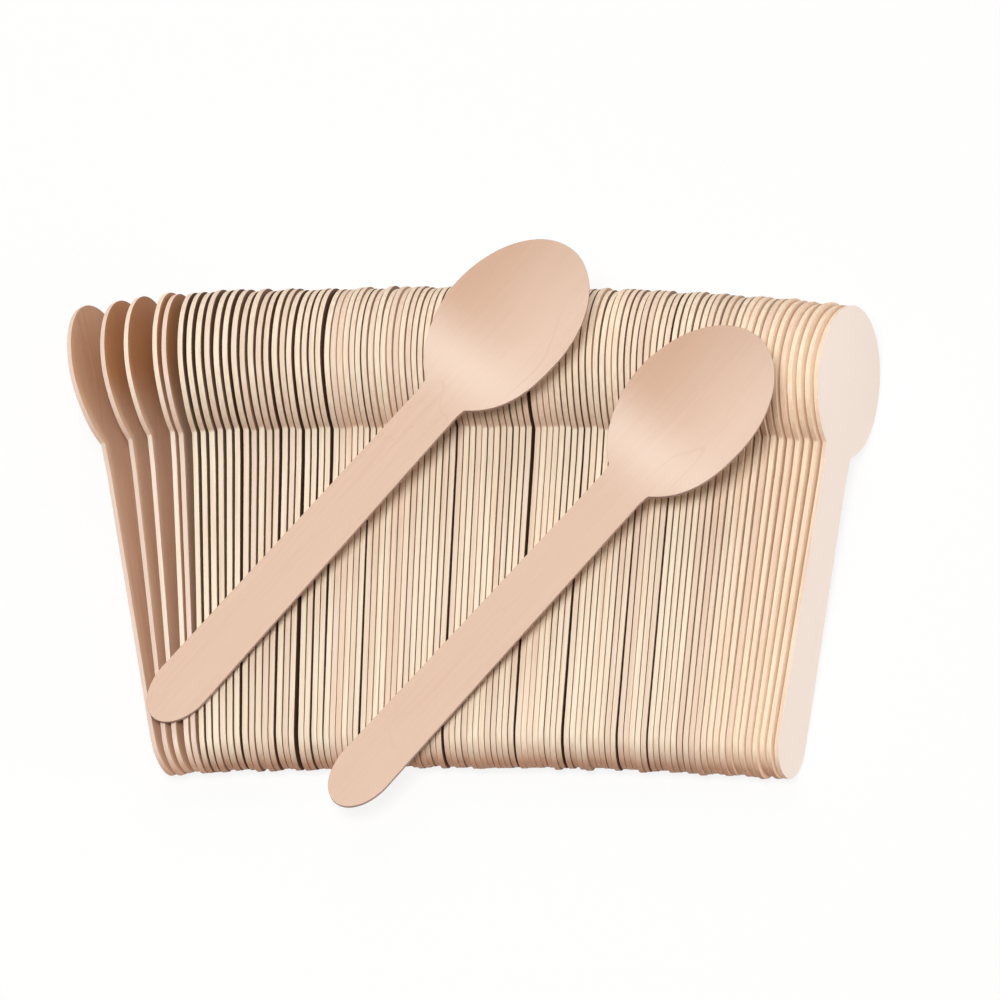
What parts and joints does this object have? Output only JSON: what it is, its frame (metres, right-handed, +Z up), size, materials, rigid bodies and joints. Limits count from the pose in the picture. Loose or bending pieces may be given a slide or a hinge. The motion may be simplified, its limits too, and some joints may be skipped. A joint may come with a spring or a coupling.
{
  "type": "wooden cutlery pack",
  "caption": "Pack of disposable pressed birch spoons: a leaning, fanned row nested on edge, with larger spoons lying face up across the top; tableware for serving and eating.",
  "frame": {"origin": "on the table, under the middle of the pack's bounding box", "axes": "+X along the row towards its right end, +Y from the handle ends to the bowls, +Z up"},
  "size_m": [0.2282, 0.157, 0.0404],
  "materials": {
    "row_veneer": "raw sanded birch veneer, pale cut edges",
    "loose_veneer": "raw sanded birch veneer, smooth pressed face"
  },
  "bodies": {
    "root": {"splayed_spoon_1": "row_veneer", "splayed_spoon_2": "row_veneer", "splayed_spoon_3": "row_veneer", "splayed_spoon_4": "row_veneer", "splayed_spoon_5": "row_veneer", "row_pair_01": "row_veneer", "row_pair_02": "row_veneer", "row_pair_03": "row_veneer", "row_pair_04": "row_veneer", "row_pair_05": "row_veneer", "row_pair_06": "row_veneer", "row_pair_07": "row_veneer", "row_pair_08": "row_veneer", "row_pair_09": "row_veneer", "row_pair_10": "row_veneer", "row_pair_11": "row_veneer", "row_pair_12": "row_veneer", "row_pair_13": "row_veneer", "row_pair_14": "row_veneer", "row_pair_15": "row_veneer", "row_pair_16": "row_veneer", "row_pair_17": "row_veneer", "row_pair_18": "row_veneer", "row_pair_19": "row_veneer", "row_pair_20": "row_veneer", "row_pair_21": "row_veneer", "row_pair_22": "row_veneer", "row_pair_23": "row_veneer", "row_pair_24": "row_veneer", "row_pair_25": "row_veneer", "row_pair_26": "row_veneer", "row_pair_27": "row_veneer", "row_pair_28": "row_veneer", "row_pair_29": "row_veneer", "row_pair_30": "row_veneer", "row_pair_31": "row_veneer", "row_pair_32": "row_veneer", "row_pair_33": "row_veneer", "row_pair_34": "row_veneer", "row_pair_35": "row_veneer", "row_pair_36": "row_veneer", "row_pair_37": "row_veneer", "row_pair_38": "row_veneer", "row_pair_39": "row_veneer", "row_pair_40": "row_veneer", "row_pair_41": "row_veneer", "row_pair_42": "row_veneer", "row_pair_43": "row_veneer", "row_pair_44": "row_veneer", "row_pair_45": "row_veneer", "row_pair_46": "row_veneer", "end_spoon": "row_veneer", "loose_spoon_left": "loose_veneer", "loose_spoon_right": "loose_veneer"}
  },
  "joints": []
}
